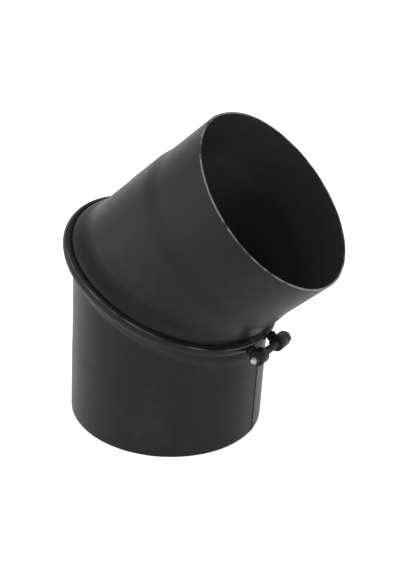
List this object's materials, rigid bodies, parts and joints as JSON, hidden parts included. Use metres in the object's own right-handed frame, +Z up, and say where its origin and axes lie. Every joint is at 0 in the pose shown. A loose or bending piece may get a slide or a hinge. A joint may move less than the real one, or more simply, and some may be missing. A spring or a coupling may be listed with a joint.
{
  "type": "flue elbow",
  "caption": "Adjustable single-joint elbow for stove pipe: two flanged steel shells that turn on each other under a split clamp band, one end a socket and one end a reduced spigot.",
  "frame": {"origin": "centre of the lower tube's open end, in the plane of its rim", "axes": "+Z up the lower tube's axis, +X towards the side that the upper tube bends to, Y across, within 5.5 degrees of the clamp bolt"},
  "size_m": [0.2136, 0.1774, 0.2504],
  "materials": {
    "heat_paint": "satin black heat-resistant paint on mild steel",
    "zinc_steel": "zinc plated, painted over between the sleeves",
    "seal": "dark woven glass-fibre sealing tape"
  },
  "bodies": {
    "lower": {"lower_shell": "heat_paint", "joint_gasket": "seal"},
    "upper": {"upper_shell": "heat_paint"},
    "clamp": {"clamp_band": "heat_paint", "plain_sleeve": "heat_paint", "threaded_sleeve": "heat_paint", "sleeve_welds": "heat_paint"},
    "washer": {"bolt_washer": "heat_paint"},
    "bolt": {"clamp_bolt": "zinc_steel"}
  },
  "joints": [
    {"name": "elbow_turn", "type": "hinge", "parent": "lower", "child": "upper", "pos_m": [0, 0, 0.1193], "axis": [0.3827, 0, 0.9239], "continuous": true},
    {"name": "clamp_turn", "type": "hinge", "parent": "lower", "child": "clamp", "pos_m": [0, 0, 0.1193], "axis": [0.3827, 0, 0.9239], "continuous": true},
    {"name": "bolt_travel", "type": "slide", "parent": "clamp", "child": "washer", "axis": [0.0885, 0.9954, -0.0367], "range_m": [0, 0.006]},
    {"name": "bolt_turn", "type": "hinge", "parent": "washer", "child": "bolt", "pos_m": [0.08872, -0.00925, 0.08255], "axis": [0.0885, 0.9954, -0.0367], "range_deg": [0, 2160]}
  ],
  "couplings": [
    {"joint": "bolt_turn", "follows": "bolt_travel", "rad_per_m": 6283.2}
  ]
}
